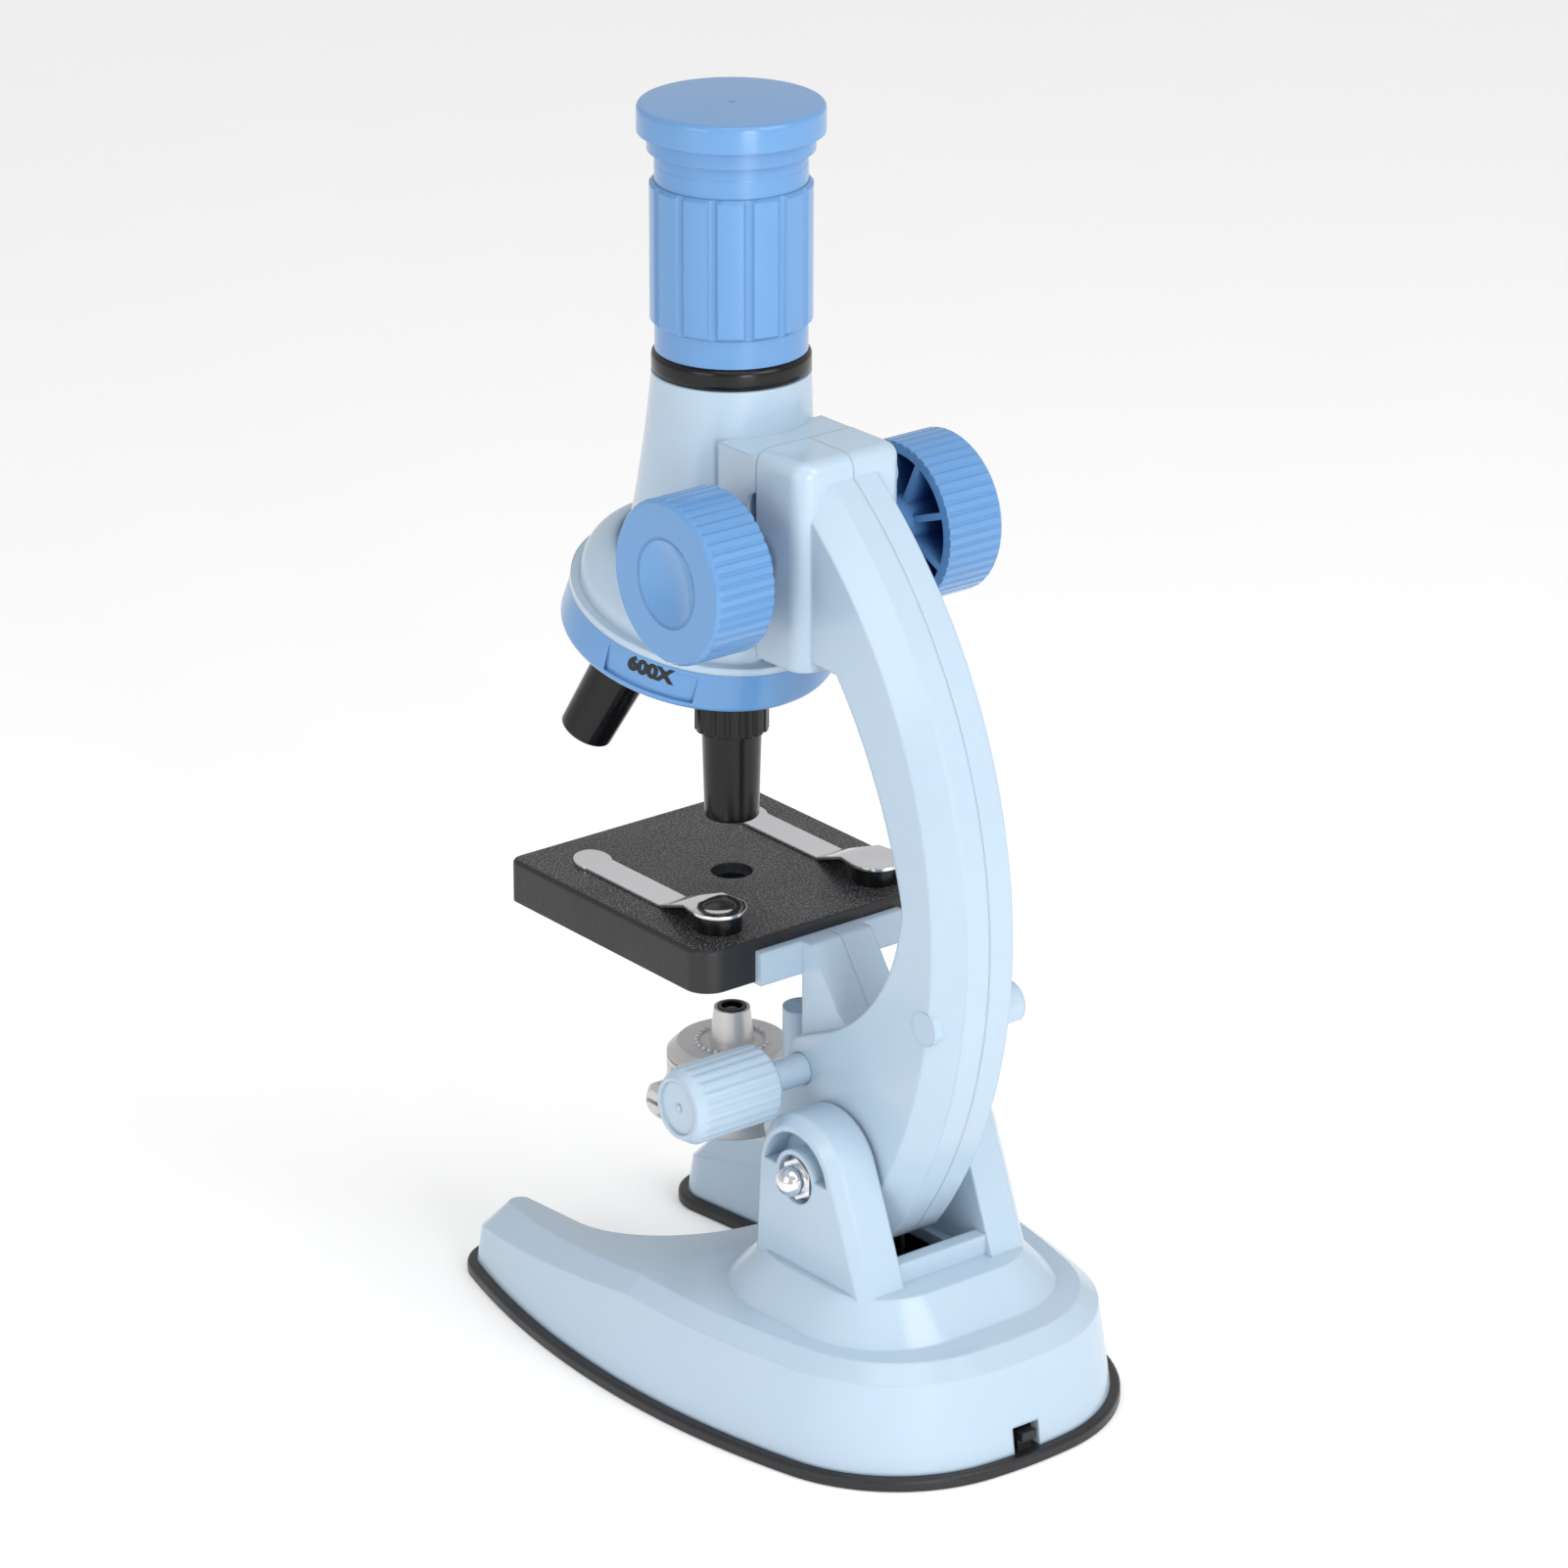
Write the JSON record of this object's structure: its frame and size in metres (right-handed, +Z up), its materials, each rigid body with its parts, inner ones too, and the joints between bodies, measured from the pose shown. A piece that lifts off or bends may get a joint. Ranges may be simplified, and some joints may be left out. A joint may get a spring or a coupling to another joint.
{
  "type": "toy microscope",
  "caption": "Toy upright microscope with tilting arm, rack focusing, revolving nosepiece, flip lamp, stage clips and a lift-off dust cap.",
  "frame": {"origin": "centre of the base's footprint, on the table", "axes": "+Z up along the optical axis; the stage, lamp and nosepiece are towards -Y, the arm's back is towards +Y, the lamp switch knob is on the +X side"},
  "size_m": [0.0812, 0.124, 0.22],
  "materials": {
    "light_blue": "gloss, lightly softened by handling",
    "mid_blue": "satin gloss",
    "black_plastic": "satin gloss",
    "black_plate": "fine matte grain",
    "stage_black": "fine speckled grain on top",
    "steel": "zinc plated",
    "chrome": "bright plated",
    "silver_paint": "silver paint on plastic, satin",
    "brass": "plain",
    "white_nylon": "natural nylon",
    "glass": "polished",
    "mirror": "bright",
    "board_green": "solder mask",
    "led_dome": "clear moulded dome",
    "cell_wrap": "plain wrap, no print",
    "wire_sleeve": "sleeving"
  },
  "bodies": {
    "base": {"base_shell": "light_blue", "base_plate": "black_plate", "base_screws": "steel", "battery_door": "black_plate", "door_screw": "steel", "battery_cells": "cell_wrap", "battery_contacts": "steel", "base_wires": "wire_sleeve", "pivot_bolt": "chrome", "pivot_washers": "chrome", "pivot_nut": "chrome"},
    "arm": {"arm_right": "light_blue", "arm_left": "light_blue", "arm_screws": "steel", "stage": "stage_black", "stage_screws": "steel", "switch_body": "black_plastic", "arm_wires": "wire_sleeve"},
    "focus_knobs": {"knob_right": "mid_blue", "knob_left": "mid_blue", "focus_shaft": "steel", "pinion": "white_nylon"},
    "tube": {"body_tube": "light_blue", "rack": "white_nylon", "tube_collar": "black_plastic", "detent_ball": "steel", "detent_spring": "steel", "turret_screw": "steel"},
    "turret": {"turret_ring": "mid_blue", "objective_high": "black_plastic", "objective_mid": "black_plastic", "objective_low": "black_plastic", "lens_high": "glass", "lens_mid": "glass", "lens_low": "glass"},
    "eyepiece": {"eyepiece_grip": "mid_blue", "eye_lens": "glass", "eyepiece_stop": "black_plastic", "field_lens": "glass"},
    "cap": {"dust_cap": "mid_blue"},
    "lamp": {"lamp_housing": "silver_paint", "lamp_cap": "silver_paint", "lamp_bezel": "black_plastic", "lamp_lens": "glass", "lamp_board": "board_green", "lamp_led": "led_dome", "lamp_mirror": "mirror", "lamp_shaft": "silver_paint"},
    "lamp_switch": {"switch_knob": "light_blue", "switch_spindle": "brass"},
    "right_clip": {"clip_right": "chrome", "clip_right_plug": "black_plastic"},
    "left_clip": {"clip_left": "chrome", "clip_left_plug": "black_plastic"}
  },
  "joints": [
    {"name": "arm_tilt", "type": "hinge", "parent": "base", "child": "arm", "pos_m": [0, 0.0202, 0.0431], "axis": [-1, 0, 0], "range_deg": [0, 45]},
    {"name": "focus_slide", "type": "slide", "parent": "arm", "child": "tube", "axis": [0, 0, 1], "range_m": [-0.008, 0.01]},
    {"name": "focus_turn", "type": "hinge", "parent": "arm", "child": "focus_knobs", "pos_m": [0, 0.0004, 0.1479], "axis": [-1, 0, 0], "range_deg": [-95.5, 119.4]},
    {"name": "turret_turn", "type": "hinge", "parent": "tube", "child": "turret", "pos_m": [0, -0.0303, 0.1231], "axis": [0, 0.2823, 0.9593], "continuous": true},
    {"name": "eyepiece_turn", "type": "hinge", "parent": "tube", "child": "eyepiece", "pos_m": [0, -0.021, 0.19], "axis": [0, 0, 1], "continuous": true},
    {"name": "cap_lift", "type": "slide", "parent": "eyepiece", "child": "cap", "axis": [0, 0, 1], "range_m": [0, 0.02]},
    {"name": "lamp_flip", "type": "hinge", "parent": "arm", "child": "lamp", "pos_m": [0, -0.021, 0.04225], "axis": [0, 1, 0], "range_deg": [0, 180]},
    {"name": "switch_turn", "type": "hinge", "parent": "arm", "child": "lamp_switch", "pos_m": [0.02, 0.0093, 0.0572], "axis": [1, 0, 0], "range_deg": [0, 270]},
    {"name": "right_clip_swing", "type": "hinge", "parent": "arm", "child": "right_clip", "pos_m": [0.0173, -0.0026, 0.082], "axis": [0, 0, 1], "range_deg": [-18, 70]},
    {"name": "left_clip_swing", "type": "hinge", "parent": "arm", "child": "left_clip", "pos_m": [-0.0173, -0.0026, 0.082], "axis": [0, 0, -1], "range_deg": [-18, 70]}
  ],
  "couplings": [
    {"joint": "focus_turn", "follows": "focus_slide", "rad_per_m": 208.33}
  ]
}
